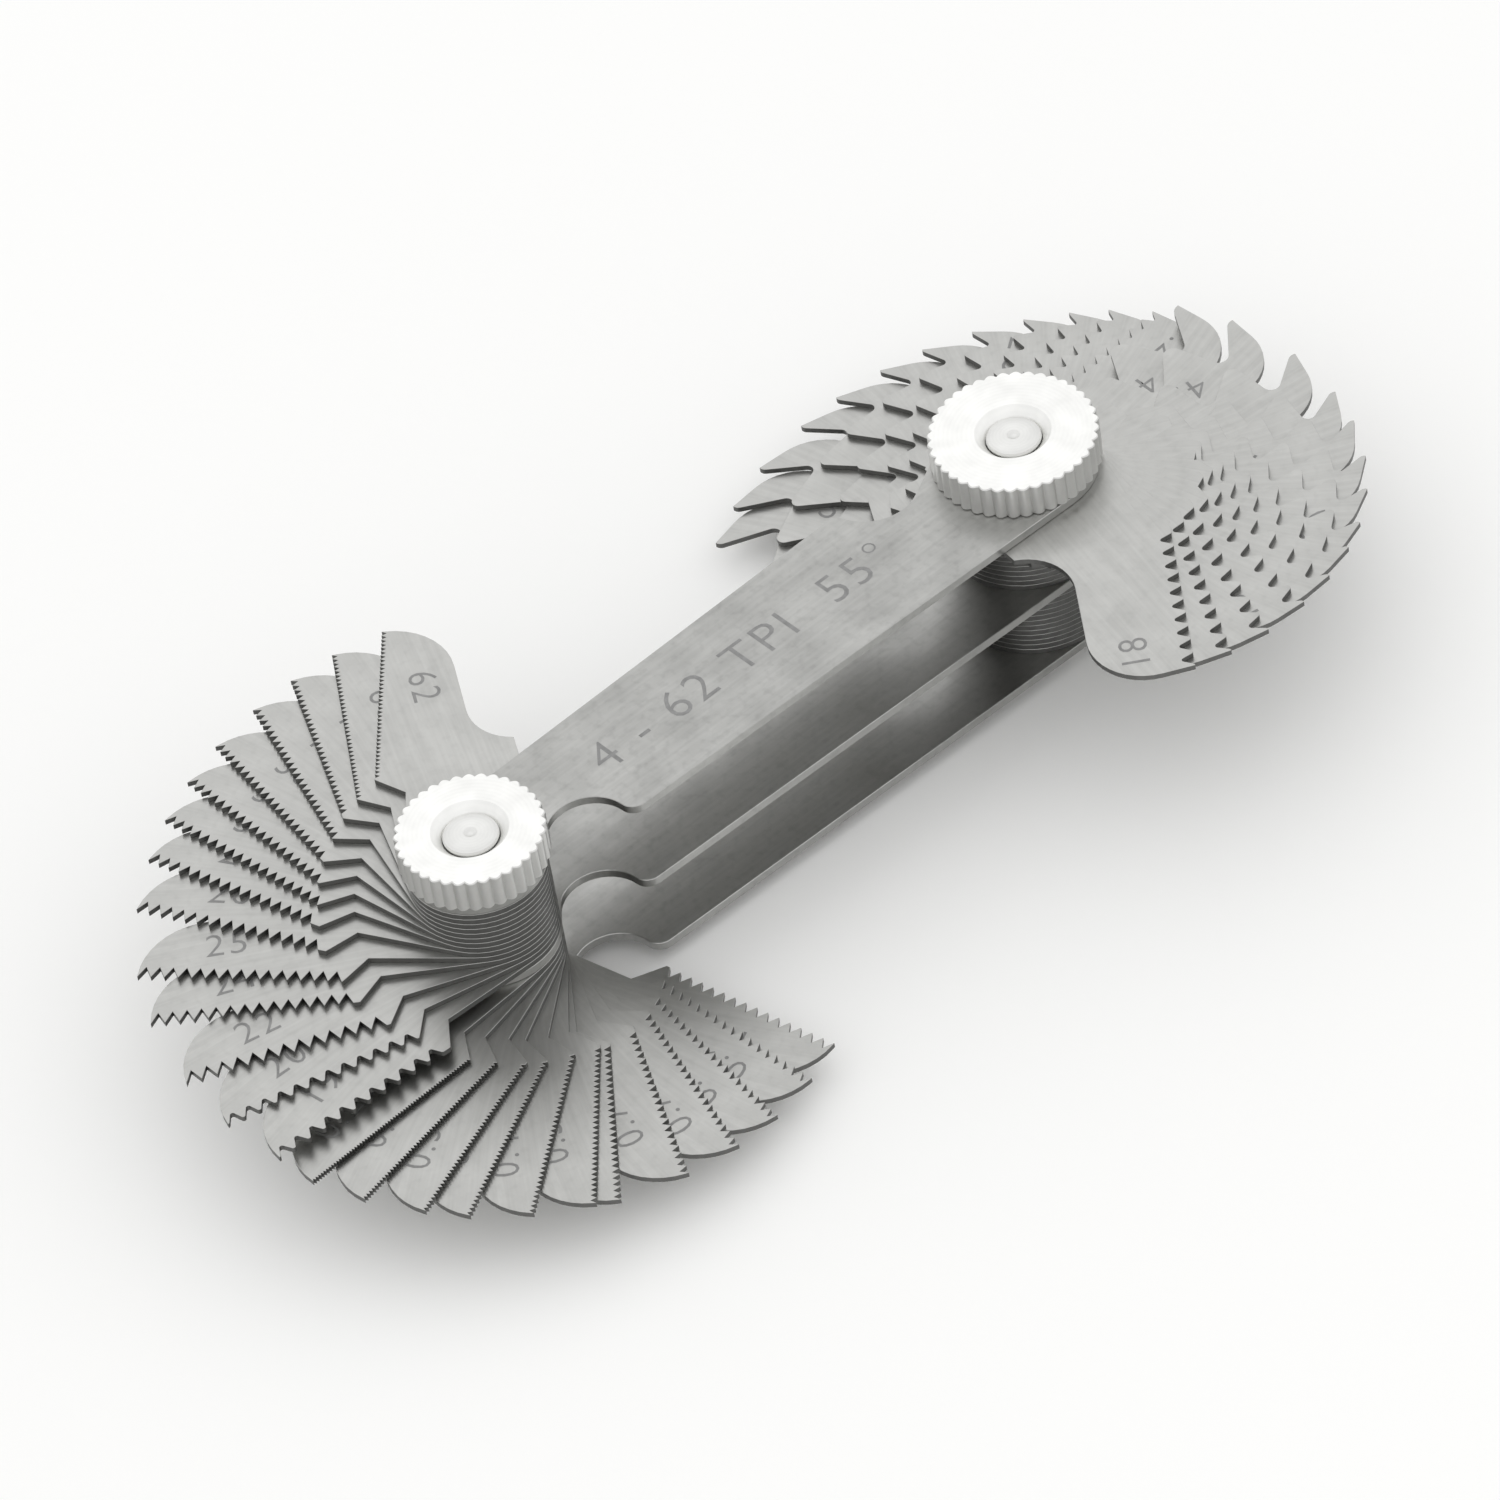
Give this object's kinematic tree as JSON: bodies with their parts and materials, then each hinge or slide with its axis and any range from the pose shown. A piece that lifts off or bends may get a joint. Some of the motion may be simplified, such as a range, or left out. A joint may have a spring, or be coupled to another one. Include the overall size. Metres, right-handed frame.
{
  "type": "thread pitch gauge",
  "caption": "Folding thread pitch gauge: fans of toothed steel leaves turn on knurled pivots between notched flat plates.",
  "frame": {"origin": "centre of the left pin head's underside, on which the gauge rests", "axes": "+X from the left pivot to the right pivot, +Z along the pins from their heads to the nuts"},
  "size_m": [0.1055, 0.0516, 0.0195],
  "materials": {
    "leaf_steel": "satin ground",
    "plate_steel": "satin ground",
    "nut_steel": "bright turned",
    "pin_steel": "turned"
  },
  "bodies": {
    "frame": {"top_plate": "plate_steel", "middle_plate": "plate_steel", "bottom_plate": "plate_steel", "left_pivot_pin": "pin_steel", "right_pivot_pin": "pin_steel"},
    "left_nut": {"left_nut": "nut_steel"},
    "right_nut": {"right_nut": "nut_steel"},
    "leaf_62_tpi": {"leaf_62_tpi": "leaf_steel"},
    "leaf_60_tpi": {"leaf_60_tpi": "leaf_steel"},
    "leaf_48_tpi": {"leaf_48_tpi": "leaf_steel"},
    "leaf_40_tpi": {"leaf_40_tpi": "leaf_steel"},
    "leaf_36_tpi": {"leaf_36_tpi": "leaf_steel"},
    "leaf_32_tpi": {"leaf_32_tpi": "leaf_steel"},
    "leaf_30_tpi": {"leaf_30_tpi": "leaf_steel"},
    "leaf_28_tpi": {"leaf_28_tpi": "leaf_steel"},
    "leaf_26_tpi": {"leaf_26_tpi": "leaf_steel"},
    "leaf_25_tpi": {"leaf_25_tpi": "leaf_steel"},
    "leaf_24_tpi": {"leaf_24_tpi": "leaf_steel"},
    "leaf_22_tpi": {"leaf_22_tpi": "leaf_steel"},
    "leaf_20_tpi": {"leaf_20_tpi": "leaf_steel"},
    "leaf_19_tpi": {"leaf_19_tpi": "leaf_steel"},
    "leaf_18_tpi": {"leaf_18_tpi": "leaf_steel"},
    "leaf_16_tpi": {"leaf_16_tpi": "leaf_steel"},
    "leaf_14_tpi": {"leaf_14_tpi": "leaf_steel"},
    "leaf_13_tpi": {"leaf_13_tpi": "leaf_steel"},
    "leaf_12_tpi": {"leaf_12_tpi": "leaf_steel"},
    "leaf_11_tpi": {"leaf_11_tpi": "leaf_steel"},
    "leaf_10_tpi": {"leaf_10_tpi": "leaf_steel"},
    "leaf_9_tpi": {"leaf_9_tpi": "leaf_steel"},
    "leaf_8_tpi": {"leaf_8_tpi": "leaf_steel"},
    "leaf_7_tpi": {"leaf_7_tpi": "leaf_steel"},
    "leaf_6_tpi": {"leaf_6_tpi": "leaf_steel"},
    "leaf_5_tpi": {"leaf_5_tpi": "leaf_steel"},
    "leaf_4_5_tpi": {"leaf_4_5_tpi": "leaf_steel"},
    "leaf_4_tpi": {"leaf_4_tpi": "leaf_steel"},
    "leaf_0_25_mm": {"leaf_0_25_mm": "leaf_steel"},
    "leaf_0_3_mm": {"leaf_0_3_mm": "leaf_steel"},
    "leaf_0_35_mm": {"leaf_0_35_mm": "leaf_steel"},
    "leaf_0_4_mm": {"leaf_0_4_mm": "leaf_steel"},
    "leaf_0_45_mm": {"leaf_0_45_mm": "leaf_steel"},
    "leaf_0_5_mm": {"leaf_0_5_mm": "leaf_steel"},
    "leaf_0_6_mm": {"leaf_0_6_mm": "leaf_steel"},
    "leaf_0_7_mm": {"leaf_0_7_mm": "leaf_steel"},
    "leaf_0_75_mm": {"leaf_0_75_mm": "leaf_steel"},
    "leaf_0_8_mm": {"leaf_0_8_mm": "leaf_steel"},
    "leaf_0_9_mm": {"leaf_0_9_mm": "leaf_steel"},
    "leaf_1_mm": {"leaf_1_mm": "leaf_steel"},
    "leaf_1_25_mm": {"leaf_1_25_mm": "leaf_steel"},
    "leaf_1_5_mm": {"leaf_1_5_mm": "leaf_steel"},
    "leaf_1_75_mm": {"leaf_1_75_mm": "leaf_steel"},
    "leaf_2_mm": {"leaf_2_mm": "leaf_steel"},
    "leaf_2_5_mm": {"leaf_2_5_mm": "leaf_steel"},
    "leaf_3_mm": {"leaf_3_mm": "leaf_steel"},
    "leaf_3_5_mm": {"leaf_3_5_mm": "leaf_steel"},
    "leaf_4_mm": {"leaf_4_mm": "leaf_steel"},
    "leaf_4_5_mm": {"leaf_4_5_mm": "leaf_steel"},
    "leaf_5_mm": {"leaf_5_mm": "leaf_steel"},
    "leaf_5_5_mm": {"leaf_5_5_mm": "leaf_steel"},
    "leaf_6_mm": {"leaf_6_mm": "leaf_steel"}
  },
  "joints": [
    {"name": "left_nut_turn", "type": "hinge", "parent": "frame", "child": "left_nut", "pos_m": [0, 0, 0.01811], "axis": [0, 0, 1], "range_deg": [0, 360]},
    {"name": "right_nut_turn", "type": "hinge", "parent": "frame", "child": "right_nut", "pos_m": [0.054, 0, 0.01811], "axis": [0, 0, 1], "range_deg": [0, 360]},
    {"name": "leaf_62_tpi_hinge", "type": "hinge", "parent": "frame", "child": "leaf_62_tpi", "pos_m": [0, 0, 0.01568], "axis": [0, 0, 1], "range_deg": [-59, 301]},
    {"name": "leaf_60_tpi_hinge", "type": "hinge", "parent": "frame", "child": "leaf_60_tpi", "pos_m": [0, 0, 0.01518], "axis": [0, 0, 1], "range_deg": [-68, 292]},
    {"name": "leaf_48_tpi_hinge", "type": "hinge", "parent": "frame", "child": "leaf_48_tpi", "pos_m": [0, 0, 0.01468], "axis": [0, 0, 1], "range_deg": [-76, 284]},
    {"name": "leaf_40_tpi_hinge", "type": "hinge", "parent": "frame", "child": "leaf_40_tpi", "pos_m": [0, 0, 0.01418], "axis": [0, 0, 1], "range_deg": [-84, 276]},
    {"name": "leaf_36_tpi_hinge", "type": "hinge", "parent": "frame", "child": "leaf_36_tpi", "pos_m": [0, 0, 0.01368], "axis": [0, 0, 1], "range_deg": [-93, 267]},
    {"name": "leaf_32_tpi_hinge", "type": "hinge", "parent": "frame", "child": "leaf_32_tpi", "pos_m": [0, 0, 0.01318], "axis": [0, 0, 1], "range_deg": [-101, 259]},
    {"name": "leaf_30_tpi_hinge", "type": "hinge", "parent": "frame", "child": "leaf_30_tpi", "pos_m": [0, 0, 0.01268], "axis": [0, 0, 1], "range_deg": [-109, 251]},
    {"name": "leaf_28_tpi_hinge", "type": "hinge", "parent": "frame", "child": "leaf_28_tpi", "pos_m": [0, 0, 0.01218], "axis": [0, 0, 1], "range_deg": [-117, 243]},
    {"name": "leaf_26_tpi_hinge", "type": "hinge", "parent": "frame", "child": "leaf_26_tpi", "pos_m": [0, 0, 0.01168], "axis": [0, 0, 1], "range_deg": [-127, 233]},
    {"name": "leaf_25_tpi_hinge", "type": "hinge", "parent": "frame", "child": "leaf_25_tpi", "pos_m": [0, 0, 0.01118], "axis": [0, 0, 1], "range_deg": [-141, 219]},
    {"name": "leaf_24_tpi_hinge", "type": "hinge", "parent": "frame", "child": "leaf_24_tpi", "pos_m": [0, 0, 0.01068], "axis": [0, 0, 1], "range_deg": [-151, 209]},
    {"name": "leaf_22_tpi_hinge", "type": "hinge", "parent": "frame", "child": "leaf_22_tpi", "pos_m": [0, 0, 0.01018], "axis": [0, 0, 1], "range_deg": [-165, 195]},
    {"name": "leaf_20_tpi_hinge", "type": "hinge", "parent": "frame", "child": "leaf_20_tpi", "pos_m": [0, 0, 0.00968], "axis": [0, 0, 1], "range_deg": [-176, 184]},
    {"name": "leaf_19_tpi_hinge", "type": "hinge", "parent": "frame", "child": "leaf_19_tpi", "pos_m": [0, 0, 0.00918], "axis": [0, 0, 1], "range_deg": [-187, 173]},
    {"name": "leaf_18_tpi_hinge", "type": "hinge", "parent": "frame", "child": "leaf_18_tpi", "pos_m": [0.054, 0, 0.01568], "axis": [0, 0, 1], "range_deg": [-77, 283]},
    {"name": "leaf_16_tpi_hinge", "type": "hinge", "parent": "frame", "child": "leaf_16_tpi", "pos_m": [0.054, 0, 0.01518], "axis": [0, 0, 1], "range_deg": [-84, 276]},
    {"name": "leaf_14_tpi_hinge", "type": "hinge", "parent": "frame", "child": "leaf_14_tpi", "pos_m": [0.054, 0, 0.01468], "axis": [0, 0, 1], "range_deg": [-92, 268]},
    {"name": "leaf_13_tpi_hinge", "type": "hinge", "parent": "frame", "child": "leaf_13_tpi", "pos_m": [0.054, 0, 0.01418], "axis": [0, 0, 1], "range_deg": [-101, 259]},
    {"name": "leaf_12_tpi_hinge", "type": "hinge", "parent": "frame", "child": "leaf_12_tpi", "pos_m": [0.054, 0, 0.01368], "axis": [0, 0, 1], "range_deg": [-109, 251]},
    {"name": "leaf_11_tpi_hinge", "type": "hinge", "parent": "frame", "child": "leaf_11_tpi", "pos_m": [0.054, 0, 0.01318], "axis": [0, 0, 1], "range_deg": [-117, 243]},
    {"name": "leaf_10_tpi_hinge", "type": "hinge", "parent": "frame", "child": "leaf_10_tpi", "pos_m": [0.054, 0, 0.01268], "axis": [0, 0, 1], "range_deg": [-124, 236]},
    {"name": "leaf_9_tpi_hinge", "type": "hinge", "parent": "frame", "child": "leaf_9_tpi", "pos_m": [0.054, 0, 0.01218], "axis": [0, 0, 1], "range_deg": [-133, 227]},
    {"name": "leaf_8_tpi_hinge", "type": "hinge", "parent": "frame", "child": "leaf_8_tpi", "pos_m": [0.054, 0, 0.01168], "axis": [0, 0, 1], "range_deg": [-142, 218]},
    {"name": "leaf_7_tpi_hinge", "type": "hinge", "parent": "frame", "child": "leaf_7_tpi", "pos_m": [0.054, 0, 0.01118], "axis": [0, 0, 1], "range_deg": [-152, 208]},
    {"name": "leaf_6_tpi_hinge", "type": "hinge", "parent": "frame", "child": "leaf_6_tpi", "pos_m": [0.054, 0, 0.01068], "axis": [0, 0, 1], "range_deg": [-161, 199]},
    {"name": "leaf_5_tpi_hinge", "type": "hinge", "parent": "frame", "child": "leaf_5_tpi", "pos_m": [0.054, 0, 0.01018], "axis": [0, 0, 1], "range_deg": [-174, 186]},
    {"name": "leaf_4_5_tpi_hinge", "type": "hinge", "parent": "frame", "child": "leaf_4_5_tpi", "pos_m": [0.054, 0, 0.00968], "axis": [0, 0, 1], "range_deg": [-189, 171]},
    {"name": "leaf_4_tpi_hinge", "type": "hinge", "parent": "frame", "child": "leaf_4_tpi", "pos_m": [0.054, 0, 0.00918], "axis": [0, 0, 1], "range_deg": [-200, 160]},
    {"name": "leaf_0_25_mm_hinge", "type": "hinge", "parent": "frame", "child": "leaf_0_25_mm", "pos_m": [0, 0, 0.00791], "axis": [0, 0, 1], "range_deg": [-193, 167]},
    {"name": "leaf_0_3_mm_hinge", "type": "hinge", "parent": "frame", "child": "leaf_0_3_mm", "pos_m": [0, 0, 0.00741], "axis": [0, 0, 1], "range_deg": [-202, 158]},
    {"name": "leaf_0_35_mm_hinge", "type": "hinge", "parent": "frame", "child": "leaf_0_35_mm", "pos_m": [0, 0, 0.00691], "axis": [0, 0, 1], "range_deg": [-212, 148]},
    {"name": "leaf_0_4_mm_hinge", "type": "hinge", "parent": "frame", "child": "leaf_0_4_mm", "pos_m": [0, 0, 0.00641], "axis": [0, 0, 1], "range_deg": [-219, 141]},
    {"name": "leaf_0_45_mm_hinge", "type": "hinge", "parent": "frame", "child": "leaf_0_45_mm", "pos_m": [0, 0, 0.00591], "axis": [0, 0, 1], "range_deg": [-229, 131]},
    {"name": "leaf_0_5_mm_hinge", "type": "hinge", "parent": "frame", "child": "leaf_0_5_mm", "pos_m": [0, 0, 0.00541], "axis": [0, 0, 1], "range_deg": [-239, 121]},
    {"name": "leaf_0_6_mm_hinge", "type": "hinge", "parent": "frame", "child": "leaf_0_6_mm", "pos_m": [0, 0, 0.00491], "axis": [0, 0, 1], "range_deg": [-243, 117]},
    {"name": "leaf_0_7_mm_hinge", "type": "hinge", "parent": "frame", "child": "leaf_0_7_mm", "pos_m": [0, 0, 0.00441], "axis": [0, 0, 1], "range_deg": [-255, 105]},
    {"name": "leaf_0_75_mm_hinge", "type": "hinge", "parent": "frame", "child": "leaf_0_75_mm", "pos_m": [0, 0, 0.00391], "axis": [0, 0, 1], "range_deg": [-265, 95]},
    {"name": "leaf_0_8_mm_hinge", "type": "hinge", "parent": "frame", "child": "leaf_0_8_mm", "pos_m": [0, 0, 0.00341], "axis": [0, 0, 1], "range_deg": [-274, 86]},
    {"name": "leaf_0_9_mm_hinge", "type": "hinge", "parent": "frame", "child": "leaf_0_9_mm", "pos_m": [0, 0, 0.00291], "axis": [0, 0, 1], "range_deg": [-284, 76]},
    {"name": "leaf_1_mm_hinge", "type": "hinge", "parent": "frame", "child": "leaf_1_mm", "pos_m": [0, 0, 0.00241], "axis": [0, 0, 1], "range_deg": [-293, 67]},
    {"name": "leaf_1_25_mm_hinge", "type": "hinge", "parent": "frame", "child": "leaf_1_25_mm", "pos_m": [0.054, 0, 0.00791], "axis": [0, 0, 1], "range_deg": [-205, 155]},
    {"name": "leaf_1_5_mm_hinge", "type": "hinge", "parent": "frame", "child": "leaf_1_5_mm", "pos_m": [0.054, 0, 0.00741], "axis": [0, 0, 1], "range_deg": [-213, 147]},
    {"name": "leaf_1_75_mm_hinge", "type": "hinge", "parent": "frame", "child": "leaf_1_75_mm", "pos_m": [0.054, 0, 0.00691], "axis": [0, 0, 1], "range_deg": [-220, 140]},
    {"name": "leaf_2_mm_hinge", "type": "hinge", "parent": "frame", "child": "leaf_2_mm", "pos_m": [0.054, 0, 0.00641], "axis": [0, 0, 1], "range_deg": [-228, 132]},
    {"name": "leaf_2_5_mm_hinge", "type": "hinge", "parent": "frame", "child": "leaf_2_5_mm", "pos_m": [0.054, 0, 0.00591], "axis": [0, 0, 1], "range_deg": [-237, 123]},
    {"name": "leaf_3_mm_hinge", "type": "hinge", "parent": "frame", "child": "leaf_3_mm", "pos_m": [0.054, 0, 0.00541], "axis": [0, 0, 1], "range_deg": [-246, 114]},
    {"name": "leaf_3_5_mm_hinge", "type": "hinge", "parent": "frame", "child": "leaf_3_5_mm", "pos_m": [0.054, 0, 0.00491], "axis": [0, 0, 1], "range_deg": [-254, 106]},
    {"name": "leaf_4_mm_hinge", "type": "hinge", "parent": "frame", "child": "leaf_4_mm", "pos_m": [0.054, 0, 0.00441], "axis": [0, 0, 1], "range_deg": [-263, 97]},
    {"name": "leaf_4_5_mm_hinge", "type": "hinge", "parent": "frame", "child": "leaf_4_5_mm", "pos_m": [0.054, 0, 0.00391], "axis": [0, 0, 1], "range_deg": [-271, 89]},
    {"name": "leaf_5_mm_hinge", "type": "hinge", "parent": "frame", "child": "leaf_5_mm", "pos_m": [0.054, 0, 0.00341], "axis": [0, 0, 1], "range_deg": [-282, 78]},
    {"name": "leaf_5_5_mm_hinge", "type": "hinge", "parent": "frame", "child": "leaf_5_5_mm", "pos_m": [0.054, 0, 0.00291], "axis": [0, 0, 1], "range_deg": [-291, 69]},
    {"name": "leaf_6_mm_hinge", "type": "hinge", "parent": "frame", "child": "leaf_6_mm", "pos_m": [0.054, 0, 0.00241], "axis": [0, 0, 1], "range_deg": [-299, 61]}
  ]
}
